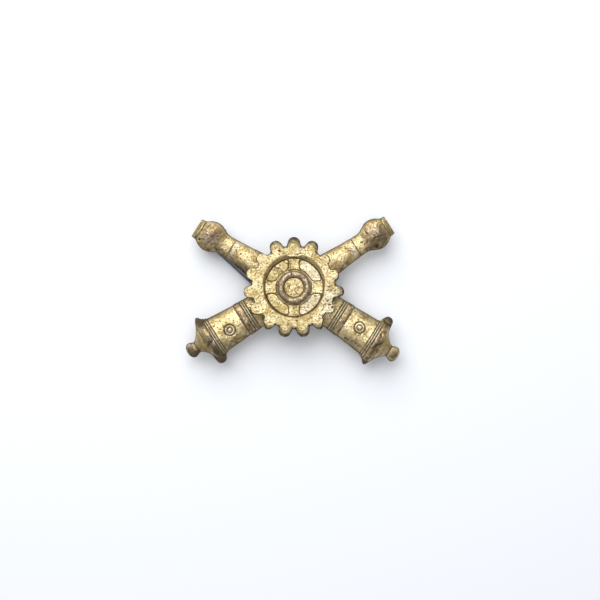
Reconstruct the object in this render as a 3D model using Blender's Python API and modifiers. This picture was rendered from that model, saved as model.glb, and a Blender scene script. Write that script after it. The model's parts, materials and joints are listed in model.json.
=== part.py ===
"""Cap badge: two crossed cannons under a cogwheel, with a brooch pin behind them.

Lengths are in metres. The badge lies on its back: +X runs along its width, +Y up the
badge and +Z out of its face. The origin is under the middle of the outline, on the
surface that the badge lies on.

Each cannon is modelled along its own X axis, from the wheel's centre to its breech.
The pin and its fittings are modelled along the pin's X axis, from hinge to point.
"""

import math

import bmesh
import bpy
from mathutils import Matrix, Vector

# Fits
FILM = 0.0001  # solder between two faces that touch
RUNNING = 0.00006  # radial clearance of a turning fit
SIDE_PLAY = 0.0001  # play at each side of a turning piece

# Sheet and relief
SHEET = 0.0006  # wall of the struck cannons
RELIEF = 0.76  # height of a cannon's crown as a share of its half width
ROUND_SIDES = 30  # not a multiple of four, so no corner lies on the cut along the back

# Cogwheel
TEETH = 15
WHEEL_TIP_R = 0.0099  # at the foot of the teeth's sloping walls
WHEEL_ROOT_R = 0.0082
FACE_DRAFT = 0.0013  # how far the face's outline lies inside the foot's
ROOT_DRAFT = 0.0005
WHEEL_THICKNESS = 0.0015
DISH_R = 0.0066
DISH_SLOPE = 0.0008
DISH_DEPTH = 0.0008
TOOTH_SHARE = 0.72  # part of the pitch that a tooth takes
SPOKE_WIDTH = 0.0022
WINDOW_DEPTH = 0.00025
WINDOW_MARGIN = 0.0003  # from the window's edge to the hub and to the dish's foot
POINTS_PER_TOOTH = 10

# Hub rivet
HUB_R = 0.0034
HUB_RING_WALL = 0.0013
HUB_HEIGHT = 0.0009
HUB_RECESS = 0.0006
SHANK_R = 0.0012
CLINCH_R = 0.0019
CLINCH_HEIGHT = 0.0005

# Cannons: half widths, then lengths along the barrel
CANNON_ANGLE = math.radians(32.3)
CROSSING_R = 0.00316
CHASE_R = 0.0024
CHASE_END_R = 0.00207
CHASE_BAND_R = 0.00243
SWELL_R = 0.00304
LIP_R = 0.00213
LIP_GROOVE = 0.0002
BAND_R = 0.0034
REINFORCE_FRONT_R = 0.0033
REINFORCE_BACK_R = 0.0037
BASE_RING_FRONT_R = 0.0039
BASE_RING_BACK_R = 0.00465
CASCABEL_R = 0.0034
NECK_R = 0.00122
KNOB_R = 0.00137
CHASE_LENGTH = 0.0035
CHASE_BAND_LENGTH = 0.001
SWELL_RUN = 0.0027
SWELL_LENGTH = 0.0042
LIP_LENGTH = 0.0009
BAND_LENGTH = 0.0023
REINFORCE_LENGTH = 0.0053
BASE_RING_LENGTH = 0.0025
CASCABEL_LENGTH = 0.002
KNOB_LENGTH = 0.0023
STEP_RUN = 0.0001  # length over which a moulding steps up or down
LUG_R = 0.00088
TRUNNION_R = 0.00105
TRUNNION_HEIGHT = 0.00015
TRUNNION_ASIDE = 0.0005

# Back plates
BACK_PLATE_INSET = 0.0006  # from the wheel's root to the plate's edge
BACK_PLATE_THICKNESS = 0.0006
HINGE_PLATE_INSET = 0.0002  # from the swell's outline to the plate's edge
HINGE_PLATE_THICKNESS = 0.0005

# Brooch pin and its fittings
PIN_R = 0.0006
PIN_POINT_R = 0.00012
PIN_TAPER = 0.0065
PIN_PAST_CATCH = 0.0024
EYE_WALL = 0.00056  # of the pin's eye, round the hinge rivet's hole
EYE_LIP = 0.00005  # how far the eye stands out past the pin at each side
HINGE_ASIDE = 0.00132  # the hinge's distance from the barrel's centre line
HINGE_RIVET_R = 0.00038
HINGE_HEAD_R = 0.00066
HINGE_HEAD_HEIGHT = 0.00035
EAR_SHEET = 0.00035
EAR_PAST_EYE = 0.00005
BRACKET_LIP = 0.0001  # how far the bracket's base stands out past its ears
BRACKET_LENGTH = 0.0027
CATCH_BEARING = math.radians(-99.7)
CATCH_EDGE = 0.002  # from the catch's middle to the back plate's edge
CATCH_WALL = 0.00043
CATCH_LENGTH = 0.0014
CATCH_MOUTH = math.radians(76.0)
CATCH_FOOT_WIDTH = 0.0024
ROLLER_WALL = 0.0005
ROLLER_ROOM = 0.00007  # between the pin and the roller's bore, where the pin is thickest
ROLLER_FLANGE_RISE = 0.00018
ROLLER_FLANGE_LENGTH = 0.0004
TAB_RISE = 0.00055
TAB_WIDTH = 0.0005
TAB_BEARING = math.radians(50.0)  # from the mouth

# Places that follow from the sizes above
CANNON_CROWN = RELIEF * CROSSING_R
WHEEL_BASE_Z = CANNON_CROWN + FILM
DISH_FLOOR_Z = WHEEL_BASE_Z + WHEEL_THICKNESS - DISH_DEPTH
BACK_PLATE_R = WHEEL_ROOT_R - BACK_PLATE_INSET
BACK_PLATE_FACE = FILM + BACK_PLATE_THICKNESS
BAND_START = WHEEL_TIP_R + FILM
BAND_END = BAND_START + BAND_LENGTH
BASE_RING_START = BAND_END + REINFORCE_LENGTH
BASE_RING_END = BASE_RING_START + BASE_RING_LENGTH
NECK_AT = BASE_RING_END + CASCABEL_LENGTH
KNOB_END = NECK_AT + KNOB_LENGTH
CHASE_BAND_START = WHEEL_TIP_R + CHASE_LENGTH
CHASE_BAND_END = CHASE_BAND_START + CHASE_BAND_LENGTH
SWELL_START = CHASE_BAND_END + SWELL_RUN
SWELL_AT = SWELL_START + SWELL_LENGTH / 2
LIP_START = SWELL_START + SWELL_LENGTH
MUZZLE_END = LIP_START + LIP_LENGTH
TRUNNION_AT = (BAND_END + BASE_RING_START) / 2
LUG_AT = BASE_RING_END - LUG_R
ROLLER_HALF = CATCH_LENGTH / 2 + SIDE_PLAY + ROLLER_FLANGE_LENGTH
PIN_R_IN_ROLLER = PIN_POINT_R + (PIN_R - PIN_POINT_R) * (PIN_PAST_CATCH + ROLLER_HALF) / PIN_TAPER
ROLLER_BORE_R = PIN_R_IN_ROLLER + ROLLER_ROOM
ROLLER_R = ROLLER_BORE_R + ROLLER_WALL
CATCH_BORE_R = ROLLER_R + RUNNING
CATCH_R = CATCH_BORE_R + CATCH_WALL
ROLLER_FLANGE_R = CATCH_BORE_R + ROLLER_FLANGE_RISE
TAB_REACH = ROLLER_FLANGE_R + TAB_RISE
EYE_HOLE_R = HINGE_RIVET_R + RUNNING
EYE_R = EYE_HOLE_R + EYE_WALL
EAR_R = EYE_R + EAR_PAST_EYE
EYE_WIDTH = 2 * (PIN_R + EYE_LIP)
PIN_DEPTH = BACK_PLATE_FACE + FILM + CATCH_R + FILM
TAB_DROP = TAB_REACH * math.cos(TAB_BEARING) + TAB_WIDTH / 2 * math.sin(TAB_BEARING)
BACK_HEIGHT = PIN_DEPTH + TAB_DROP  # from the surface that the badge lies on to its back rims


def remove_everything():
    for item in list(bpy.data.objects):
        bpy.data.objects.remove(item, do_unlink=True)


def new_collection(name):
    group = bpy.data.collections.new(name)
    bpy.context.scene.collection.children.link(group)
    return group


remove_everything()
BADGE = new_collection("cap_badge")
CUTTERS = new_collection("cutters")


def finish(name, colour, metallic=1.0, roughness=0.4):
    material = bpy.data.materials.new(name)
    material.use_nodes = True
    shader = material.node_tree.nodes["Principled BSDF"]
    shader.inputs["Base Color"].default_value = (*colour, 1.0)
    shader.inputs["Metallic"].default_value = metallic
    shader.inputs["Roughness"].default_value = roughness
    return material


def gilt(name):
    return finish(name, (0.60, 0.46, 0.20))


def plain_brass(name):
    return finish(name, (0.52, 0.41, 0.20), roughness=0.45)


def steel(name):
    return finish(name, (0.19, 0.20, 0.22), roughness=0.35)


def frame(name, parent=None, at=(0.0, 0.0, 0.0), turn=0.0):
    """An empty that carries pieces: turned about Z and placed in its parent's frame."""
    empty = bpy.data.objects.new(name, None)
    empty.location = at
    empty.rotation_euler = (0.0, 0.0, turn)
    empty.parent = parent
    BADGE.objects.link(empty)
    return empty


def place(mesh, name, parent, at=(0.0, 0.0, 0.0), turn=(0.0, 0.0, 0.0), material=None):
    """A piece of the badge where a material is given, and a cutter where none is."""
    piece = bpy.data.objects.new(name, mesh)
    piece.parent = parent
    piece.location = at
    piece.rotation_euler = turn
    if material:
        mesh.materials.append(material)
        BADGE.objects.link(piece)
    else:
        CUTTERS.objects.link(piece)
        piece.hide_render = True
        piece.display_type = "WIRE"
    return piece


def boolean(piece, other, operation):
    step = piece.modifiers.new(f"{operation.title()} {other.name}", "BOOLEAN")
    step.operation = operation
    step.solver = "EXACT"
    step.object = other


def cut(piece, *cutters):
    for cutter in cutters:
        boolean(piece, cutter, "DIFFERENCE")


def join(piece, *others):
    for other in others:
        boolean(piece, other, "UNION")


LYING = (0.0, math.pi / 2, 0.0)  # lays a turned piece's axis along +X
ACROSS = (-math.pi / 2, 0.0, 0.0)  # lays a turned piece's axis along +Y


def turned(name, outline, parent, closed=False, sides=ROUND_SIDES, **placing):
    """A turned piece from (radius, height) points that run down its outer side."""
    edges = [(i, i + 1) for i in range(len(outline) - 1)]
    if closed:
        edges.append((len(outline) - 1, 0))
    mesh = bpy.data.meshes.new(name)
    mesh.from_pydata([(radius, 0.0, height) for radius, height in outline], edges, [])
    piece = place(mesh, name, parent, **placing)
    screw = piece.modifiers.new("Turn", "SCREW")
    screw.axis = "Z"
    screw.steps = sides
    screw.render_steps = sides
    screw.use_merge_vertices = True
    screw.merge_threshold = 1e-6
    weld = piece.modifiers.new("Close the poles", "WELD")
    weld.merge_threshold = 1e-6
    return piece


def cylinder(name, radius, low, high, parent, sides=ROUND_SIDES, **placing):
    outline = [(0.0, high), (radius, high), (radius, low), (0.0, low)]
    return turned(name, outline, parent, sides=sides, **placing)


def block(name, low, high, parent, **placing):
    """A box from its two corners."""
    shape = bmesh.new()
    bmesh.ops.create_cube(shape, size=1.0)
    low, high = Vector(low), Vector(high)
    size = high - low
    bmesh.ops.scale(shape, vec=size, verts=shape.verts)
    bmesh.ops.translate(shape, vec=(low + high) / 2, verts=shape.verts)
    mesh = bpy.data.meshes.new(name)
    shape.to_mesh(mesh)
    shape.free()
    return place(mesh, name, parent, **placing)


def arc(centre, radius, start, end, steps):
    """Points along an arc, in a plane, from one angle to another."""
    points = []
    for i in range(steps + 1):
        angle = start + (end - start) * i / steps
        points.append((centre[0] + radius * math.cos(angle), centre[1] + radius * math.sin(angle)))
    return points


def flat_outline(name, points, low, high, parent, **placing):
    """A flat outline in the XY plane, as a solid between two heights."""
    curve = bpy.data.curves.new(name, "CURVE")
    curve.dimensions = "2D"
    curve.fill_mode = "BOTH"
    curve.extrude = (high - low) / 2
    spline = curve.splines.new("POLY")
    spline.points.add(len(points) - 1)
    for point, (x, y) in zip(spline.points, points):
        point.co = (x, y, 0.0, 1.0)
    spline.use_cyclic_u = True
    source = bpy.data.objects.new(name, curve)
    CUTTERS.objects.link(source)
    evaluated = source.evaluated_get(bpy.context.evaluated_depsgraph_get())
    mesh = bpy.data.meshes.new_from_object(evaluated)
    bpy.data.objects.remove(source)
    mesh.transform(Matrix.Translation((0.0, 0.0, (low + high) / 2)))
    shape = bmesh.new()
    shape.from_mesh(mesh)
    bmesh.ops.remove_doubles(shape, verts=shape.verts, dist=1e-7)
    bmesh.ops.recalc_face_normals(shape, faces=shape.faces)
    shape.to_mesh(mesh)
    shape.free()
    return place(mesh, name, parent, **placing)


# Frames: the wheel's centre on the back plane, then each cannon's axis
OUTLINE_TOP = MUZZLE_END * math.sin(CANNON_ANGLE) + LIP_R * math.cos(CANNON_ANGLE)
OUTLINE_BOTTOM = (
    LUG_AT * math.sin(CANNON_ANGLE) + BASE_RING_BACK_R * math.cos(CANNON_ANGLE) + LUG_R
)
WHEEL_RISE = (OUTLINE_BOTTOM - OUTLINE_TOP) / 2
badge_frame = frame("badge_frame", at=(0.0, WHEEL_RISE, BACK_HEIGHT))
through_frame = frame("through_frame", badge_frame, turn=-CANNON_ANGLE)
cross_frame = frame("cross_frame", badge_frame, turn=math.pi + CANNON_ANGLE)


# Cannons
def barrel_outline(grow=0.0):
    """(radius, place along the barrel) from the knob to the muzzle."""
    knob_middle = NECK_AT + KNOB_LENGTH * 0.45
    points = [
        (0.0, KNOB_END),
        (KNOB_R * 0.55, KNOB_END - KNOB_LENGTH * 0.06),
        (KNOB_R * 0.88, KNOB_END - KNOB_LENGTH * 0.24),
        (KNOB_R, knob_middle),
        (NECK_R, NECK_AT),
        (NECK_R * 1.35, NECK_AT - CASCABEL_LENGTH * 0.28),
        (NECK_R * 2.0, NECK_AT - CASCABEL_LENGTH * 0.68),
        (CASCABEL_R, BASE_RING_END + STEP_RUN),
        (BASE_RING_BACK_R, BASE_RING_END),
        (BASE_RING_FRONT_R, BASE_RING_START),
        (REINFORCE_BACK_R, BASE_RING_START - STEP_RUN),
        (REINFORCE_FRONT_R, BAND_END + STEP_RUN),
        (BAND_R, BAND_END),
        (BAND_R, BAND_START),
        (CROSSING_R, BAND_START - STEP_RUN),
        (CROSSING_R, -CROSSING_R * 1.7),
        (CHASE_R * 1.08, -CROSSING_R * 2.2),
        (CHASE_R, -WHEEL_TIP_R),
        (CHASE_R * 0.96, STEP_RUN - CHASE_BAND_START),
        (CHASE_BAND_R, -CHASE_BAND_START),
        (CHASE_BAND_R, -CHASE_BAND_END),
        (CHASE_R * 0.92, -CHASE_BAND_END - STEP_RUN),
        (CHASE_END_R, -SWELL_START),
    ]
    swell = range(1, 8)
    for i in swell:
        share = i / len(swell) * 0.94
        rise = math.sin(math.pi * share)
        radius = CHASE_END_R + (SWELL_R - CHASE_END_R) * rise
        points.append((radius, -SWELL_START - SWELL_LENGTH * share))
    points += [
        (LIP_R - LIP_GROOVE, -LIP_START),
        (LIP_R, -LIP_START - STEP_RUN),
        (LIP_R, -MUZZLE_END),
        (0.0, -MUZZLE_END),
    ]
    return [(radius + grow if radius else 0.0, along) for radius, along in points]


def hollow_outline():
    """The hollow behind the sheet, which stops before the cascabel and the muzzle's face."""
    return [
        (0.0, BASE_RING_END - SHEET),
        (BASE_RING_FRONT_R - SHEET, BASE_RING_END - SHEET),
        (REINFORCE_BACK_R - SHEET, BASE_RING_START),
        (REINFORCE_FRONT_R - SHEET, BAND_END),
        (CROSSING_R - SHEET, BAND_START),
        (CROSSING_R - SHEET, -CROSSING_R * 1.6),
        (CHASE_R - SHEET, -CROSSING_R * 2.2),
        (CHASE_R * 0.92 - SHEET, -CHASE_BAND_END),
        (CHASE_END_R - SHEET, -SWELL_START),
        (SWELL_R - SHEET, -SWELL_AT),
        (LIP_R - SHEET, -LIP_START),
        (LIP_R - SHEET, SHEET - MUZZLE_END),
        (0.0, SHEET - MUZZLE_END),
    ]


def flattened(piece):
    """Presses a turned barrel to the relief's height; its local X points down."""
    piece.scale = (RELIEF, 1.0, 1.0)
    return piece


def cannon(name, axis, material):
    """A struck half-round cannon, open at the back."""
    barrel = flattened(turned(name, barrel_outline(), axis, turn=LYING, material=material))
    half_circle = arc((0.0, 0.0), LUG_R, math.pi / 2, -math.pi / 2, 8)
    ball = [(0.0, LUG_R)] + half_circle[1:-1] + [(0.0, -LUG_R)]
    lug = turned(f"{name}_lug", ball, axis, sides=14, at=(LUG_AT, BASE_RING_BACK_R, 0.0))
    crown = RELIEF * (REINFORCE_FRONT_R + REINFORCE_BACK_R) / 2
    boss = cylinder(
        f"{name}_trunnion", TRUNNION_R, crown - SHEET, crown + TRUNNION_HEIGHT, axis, sides=16,
        at=(TRUNNION_AT, TRUNNION_ASIDE, 0.0),
    )
    hollow = flattened(turned(f"{name}_hollow", hollow_outline(), axis, turn=LYING))
    reach = KNOB_END + SHEET
    below = block(f"{name}_below", (-reach, -reach / 2, -reach / 2), (reach, reach / 2, 0.0), axis)
    join(barrel, lug, boss)
    cut(barrel, hollow, below)
    return barrel


through_cannon = cannon("through_cannon", through_frame, gilt("through_cannon_gilt"))
cross_breech = cannon("cross_breech", cross_frame, gilt("cross_breech_gilt"))
cross_muzzle = cannon("cross_muzzle", cross_frame, gilt("cross_muzzle_gilt"))

# The other cannon's two lengths are cut to saddle over the through cannon's flanks.
saddle = flattened(turned("saddle", barrel_outline(grow=FILM), through_frame, turn=LYING))
half = KNOB_END + SHEET
muzzle_side = block("muzzle_side", (-half, -half, -half), (0.0, half, half), cross_frame)
breech_side = block("breech_side", (0.0, -half, -half), (half, half, half), cross_frame)
rivet_bore = cylinder("rivet_bore", SHANK_R + FILM, -WHEEL_BASE_Z, WHEEL_BASE_Z, badge_frame)
cut(cross_breech, saddle, muzzle_side, rivet_bore)
cut(cross_muzzle, saddle, breech_side, rivet_bore)
cut(through_cannon, rivet_bore)


# Cogwheel
def tooth_radius(angle, root, tip):
    """The toothed outline: round-topped teeth with a tooth at the top of the wheel."""
    pitch = 2 * math.pi / TEETH
    from_tooth = abs((angle - math.pi / 2 + pitch / 2) % pitch - pitch / 2)
    share = from_tooth / (pitch * TOOTH_SHARE / 2)
    if share >= 1.0:
        return root
    return root + (tip - root) * math.sqrt(1.0 - share**2.6)


def wheel_mesh(name):
    """A loft of rings: face, dish, bore and underside, each with the same points."""
    count = TEETH * POINTS_PER_TOOTH
    angles = [2 * math.pi * (i + 0.5) / count for i in range(count)]
    face_z = WHEEL_BASE_Z + WHEEL_THICKNESS
    bore_r = SHANK_R + RUNNING
    rings = [
        ([tooth_radius(a, WHEEL_ROOT_R, WHEEL_TIP_R) for a in angles], WHEEL_BASE_Z),
        ([tooth_radius(a, WHEEL_ROOT_R - ROOT_DRAFT, WHEEL_TIP_R - FACE_DRAFT) for a in angles], face_z),
        ([DISH_R] * count, face_z),
        ([DISH_R - DISH_SLOPE] * count, DISH_FLOOR_Z),
        ([bore_r] * count, DISH_FLOOR_Z),
        ([bore_r] * count, WHEEL_BASE_Z),
    ]
    shape = bmesh.new()
    loops = []
    for radii, height in rings:
        corners = [(r * math.cos(a), r * math.sin(a), height) for r, a in zip(radii, angles)]
        loops.append([shape.verts.new(corner) for corner in corners])
    for lower, upper in zip(loops, loops[1:] + loops[:1]):
        for i in range(count):
            j = (i + 1) % count
            shape.faces.new((lower[i], lower[j], upper[j], upper[i]))
    mesh = bpy.data.meshes.new(name)
    shape.to_mesh(mesh)
    shape.free()
    return mesh


cogwheel = place(wheel_mesh("cogwheel"), "cogwheel", badge_frame, material=gilt("cogwheel_gilt"))
window_inner = HUB_R + WINDOW_MARGIN
window_outer = DISH_R - DISH_SLOPE - WINDOW_MARGIN
for quarter in range(4):
    middle = math.pi / 4 + quarter * math.pi / 2
    inner_half = math.pi / 4 - math.asin(SPOKE_WIDTH / 2 / window_inner)
    outer_half = math.pi / 4 - math.asin(SPOKE_WIDTH / 2 / window_outer)
    outline = arc((0.0, 0.0), window_outer, middle - outer_half, middle + outer_half, 10)
    outline += arc((0.0, 0.0), window_inner, middle + inner_half, middle - inner_half, 6)
    window = flat_outline(
        f"window_{quarter + 1}", outline, DISH_FLOOR_Z - WINDOW_DEPTH,
        DISH_FLOOR_Z + DISH_DEPTH, badge_frame,
    )
    cut(cogwheel, window)

# Hub rivet, which holds the wheel, the cannons and the back plate together
seat = DISH_FLOOR_Z + FILM
clinch = -BACK_PLATE_FACE - FILM
ring_middle = HUB_R - HUB_RING_WALL / 2
hub_rivet = turned(
    "hub_rivet",
    [
        (0.0, seat + HUB_HEIGHT - HUB_RECESS),
        (HUB_R - HUB_RING_WALL, seat + HUB_HEIGHT - HUB_RECESS),
        (HUB_R - HUB_RING_WALL * 0.9, seat + HUB_HEIGHT * 0.8),
        (ring_middle, seat + HUB_HEIGHT),
        (HUB_R - HUB_RING_WALL * 0.1, seat + HUB_HEIGHT * 0.7),
        (HUB_R, seat),
        (SHANK_R, seat),
        (SHANK_R, clinch),
        (CLINCH_R, clinch),
        (CLINCH_R * 0.8, clinch - CLINCH_HEIGHT),
        (0.0, clinch - CLINCH_HEIGHT),
    ],
    badge_frame,
    material=finish("hub_rivet_tombak", (0.46, 0.30, 0.20)),
)
back_plate = cylinder(
    "back_plate", BACK_PLATE_R, -BACK_PLATE_FACE, -FILM, badge_frame,
    sides=48, material=plain_brass("back_plate_brass"),
)
cut(back_plate, rivet_bore)

# Pin line: from the hinge, under the muzzle's swell, to the catch, under the wheel
to_badge = Matrix.Rotation(-CANNON_ANGLE, 3, "Z")
hinge_point = to_badge @ Vector((-SWELL_AT, -HINGE_ASIDE, 0.0))
catch_ring_r = BACK_PLATE_R - CATCH_EDGE
catch_point = Vector(
    (catch_ring_r * math.cos(CATCH_BEARING), catch_ring_r * math.sin(CATCH_BEARING), 0.0)
)
pin_run = (catch_point - hinge_point).length
pin_angle = math.atan2(catch_point.y - hinge_point.y, catch_point.x - hinge_point.x)
pin_frame = frame(
    "pin_frame", badge_frame, at=(hinge_point.x, hinge_point.y, -PIN_DEPTH), turn=pin_angle
)
catch_frame = frame("catch_frame", pin_frame, at=(pin_run, 0.0, 0.0))

# Hinge plate over the muzzle's hollow, and the folded bracket on it
hinge_plate = cylinder(
    "hinge_plate", SWELL_R - HINGE_PLATE_INSET, -FILM - HINGE_PLATE_THICKNESS, -FILM,
    through_frame, at=(-SWELL_AT, 0.0, 0.0), material=plain_brass("hinge_plate_brass"),
)
bracket_top = PIN_DEPTH - FILM - HINGE_PLATE_THICKNESS - FILM
bracket_base = bracket_top - EAR_SHEET
ear_root = (bracket_top + bracket_base) / 2
ear_side = [(EAR_R, ear_root), (-EAR_R, ear_root)]
ear_side += arc((0.0, 0.0), EAR_R, math.pi, 2 * math.pi, 12)
ear_inside = EYE_WIDTH / 2 + SIDE_PLAY
ear_outside = ear_inside + EAR_SHEET
base_half = ear_outside + BRACKET_LIP
hinge_bracket = block(
    "hinge_bracket", (-BRACKET_LENGTH / 2, -base_half, bracket_base),
    (BRACKET_LENGTH / 2, base_half, bracket_top), pin_frame,
    material=plain_brass("hinge_bracket_brass"),
)
UPRIGHT = (math.pi / 2, 0.0, 0.0)  # stands a flat outline up, its Y along Z
left_ear = flat_outline("left_ear", ear_side, -ear_outside, -ear_inside, pin_frame, turn=UPRIGHT)
right_ear = flat_outline("right_ear", ear_side, ear_inside, ear_outside, pin_frame, turn=UPRIGHT)
ear_holes = cylinder(
    "ear_holes", EYE_HOLE_R, -PIN_DEPTH, PIN_DEPTH, pin_frame, sides=20, turn=ACROSS
)
join(hinge_bracket, left_ear, right_ear)
cut(hinge_bracket, ear_holes)

head_start = ear_outside + SIDE_PLAY
head_end = head_start + HINGE_HEAD_HEIGHT
hinge_rivet = turned(
    "hinge_rivet",
    [
        (0.0, head_end),
        (HINGE_HEAD_R * 0.7, head_end),
        (HINGE_HEAD_R, head_start + HINGE_HEAD_HEIGHT * 0.4),
        (HINGE_HEAD_R, head_start),
        (HINGE_RIVET_R, head_start),
        (HINGE_RIVET_R, -head_start),
        (HINGE_HEAD_R, -head_start),
        (HINGE_HEAD_R, -head_start - HINGE_HEAD_HEIGHT * 0.4),
        (HINGE_HEAD_R * 0.7, -head_end),
        (0.0, -head_end),
    ],
    pin_frame, sides=20, turn=ACROSS, material=steel("hinge_rivet_steel"),
)

# Brooch pin: the eye turns on the hinge rivet, and its origin is on that axis
pin_length = pin_run + PIN_PAST_CATCH
pin_root = EYE_HOLE_R + EYE_WALL / 4
brooch_pin = turned(
    "brooch_pin",
    [
        (0.0, pin_length),
        (PIN_POINT_R, pin_length - PIN_POINT_R),
        (PIN_R, pin_length - PIN_TAPER),
        (PIN_R, pin_root),
        (0.0, pin_root),
    ],
    pin_frame, sides=16, turn=LYING, material=steel("brooch_pin_steel"),
)
eye = cylinder("pin_eye", EYE_R, -EYE_WIDTH / 2, EYE_WIDTH / 2, pin_frame, sides=24, turn=ACROSS)
eye_hole = cylinder(
    "eye_hole", EYE_HOLE_R, -EYE_WIDTH, EYE_WIDTH, pin_frame, sides=20, turn=ACROSS
)
join(brooch_pin, eye)
cut(brooch_pin, eye_hole)

# Catch body: a C with its mouth away from the back, on a foot that meets the back plate
foot_top = PIN_DEPTH - BACK_PLATE_FACE - FILM
foot_angle = math.acos(CATCH_FOOT_WIDTH / 2 / CATCH_R)
down = -math.pi / 2
catch_outline = arc((0.0, 0.0), CATCH_R, down + CATCH_MOUTH / 2, foot_angle, 12)
catch_outline += [(CATCH_FOOT_WIDTH / 2, foot_top), (-CATCH_FOOT_WIDTH / 2, foot_top)]
catch_outline += arc((0.0, 0.0), CATCH_R, math.pi - foot_angle, 3 * math.pi / 2 - CATCH_MOUTH / 2, 12)
catch_outline += arc(
    (0.0, 0.0), CATCH_BORE_R, 3 * math.pi / 2 - CATCH_MOUTH / 2, down + CATCH_MOUTH / 2, 28
)
FACING_ALONG = (math.pi / 2, 0.0, math.pi / 2)  # stands an outline up across the pin
catch_body = flat_outline(
    "catch_body", catch_outline, -CATCH_LENGTH / 2, CATCH_LENGTH / 2, catch_frame,
    turn=FACING_ALONG, material=plain_brass("catch_body_brass"),
)

# Roller: turns in the catch, with its slot at the mouth when it is unlocked
neck = ROLLER_HALF - ROLLER_FLANGE_LENGTH
catch_roller = turned(
    "catch_roller",
    [
        (ROLLER_BORE_R, ROLLER_HALF),
        (ROLLER_FLANGE_R, ROLLER_HALF),
        (ROLLER_FLANGE_R, neck),
        (ROLLER_R, neck),
        (ROLLER_R, -neck),
        (ROLLER_FLANGE_R, -neck),
        (ROLLER_FLANGE_R, -ROLLER_HALF),
        (ROLLER_BORE_R, -ROLLER_HALF),
    ],
    catch_frame, closed=True, sides=24, turn=LYING, material=plain_brass("catch_roller_brass"),
)
tab = block(
    "roller_tab", (neck, -TAB_WIDTH / 2, -TAB_REACH),
    (ROLLER_HALF, TAB_WIDTH / 2, -(ROLLER_FLANGE_R + ROLLER_BORE_R) / 2),
    catch_frame, turn=(TAB_BEARING, 0.0, 0.0),
)
slot = block(
    "roller_slot", (-2 * ROLLER_HALF, -ROLLER_BORE_R, -2 * ROLLER_FLANGE_R),
    (2 * ROLLER_HALF, ROLLER_BORE_R, 0.0), catch_frame,
)
join(catch_roller, tab)
cut(catch_roller, slot)

for piece in BADGE.objects:
    if piece.type == "MESH":
        piece.data.shade_smooth()
        piece.data.set_sharp_from_angle(angle=math.radians(35.0))
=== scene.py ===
"""A gilt cap badge: two crossed cannons under a cogwheel, with a brooch pin behind them.

The badge lies on its back on a pale table, face up, with +Y towards its top.
"""

import json
import math

import bmesh
import bpy
import numpy as np
from mathutils import Matrix, Vector


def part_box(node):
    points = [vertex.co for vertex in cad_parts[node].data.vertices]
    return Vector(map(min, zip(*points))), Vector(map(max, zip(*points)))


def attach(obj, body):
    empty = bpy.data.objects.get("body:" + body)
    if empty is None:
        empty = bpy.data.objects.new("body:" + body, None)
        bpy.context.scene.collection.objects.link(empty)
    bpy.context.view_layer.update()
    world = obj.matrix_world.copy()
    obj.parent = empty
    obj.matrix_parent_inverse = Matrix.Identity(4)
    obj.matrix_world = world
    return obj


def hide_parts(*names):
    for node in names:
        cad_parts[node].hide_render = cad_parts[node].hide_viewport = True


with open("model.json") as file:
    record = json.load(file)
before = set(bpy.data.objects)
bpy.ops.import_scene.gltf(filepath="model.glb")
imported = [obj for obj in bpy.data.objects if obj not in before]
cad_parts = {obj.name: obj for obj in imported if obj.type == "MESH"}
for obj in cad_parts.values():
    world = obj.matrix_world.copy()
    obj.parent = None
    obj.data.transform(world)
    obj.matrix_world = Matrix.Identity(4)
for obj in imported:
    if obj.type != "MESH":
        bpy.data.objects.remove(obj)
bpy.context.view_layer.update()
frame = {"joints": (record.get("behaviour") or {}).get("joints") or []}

# ------------------------------
# The through cannon. A strip of thin gilding metal struck between steel dies, so it is
# round on the face and hollow behind, then fire gilt. It runs whole from its muzzle at
# the upper left to the cascabel knob at the lower right, under the wheel.
MM = 0.001
hub_low, hub_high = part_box("hub_rivet")
back_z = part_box("through_cannon")[0].z
centre_x = (hub_low.x + hub_high.x) / 2
centre_y = (hub_low.y + hub_high.y) / 2
BARREL_ANGLE = math.radians(32.3)

# Half widths in mm at places along the barrel: minus is towards the muzzle.
MUZZLE_HALVES = (
    (-22.55, 1.95), (-22.0, 2.04), (-21.6, 2.06), (-21.3, 2.25), (-20.7, 2.68), (-19.9, 3.0),
    (-19.1, 3.1), (-18.3, 2.97), (-17.4, 2.5), (-16.7, 2.14), (-16.0, 2.02), (-14.4, 2.06),
    (-13.2, 2.14), (-11.5, 2.25), (-9.9, 2.42), (-5.0, 2.8), (0.0, 3.16), (5.0, 3.22),
    (9.7, 3.33), (12.0, 3.45), (12.4, 3.42), (15.0, 3.6), (17.5, 3.78),
)
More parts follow.
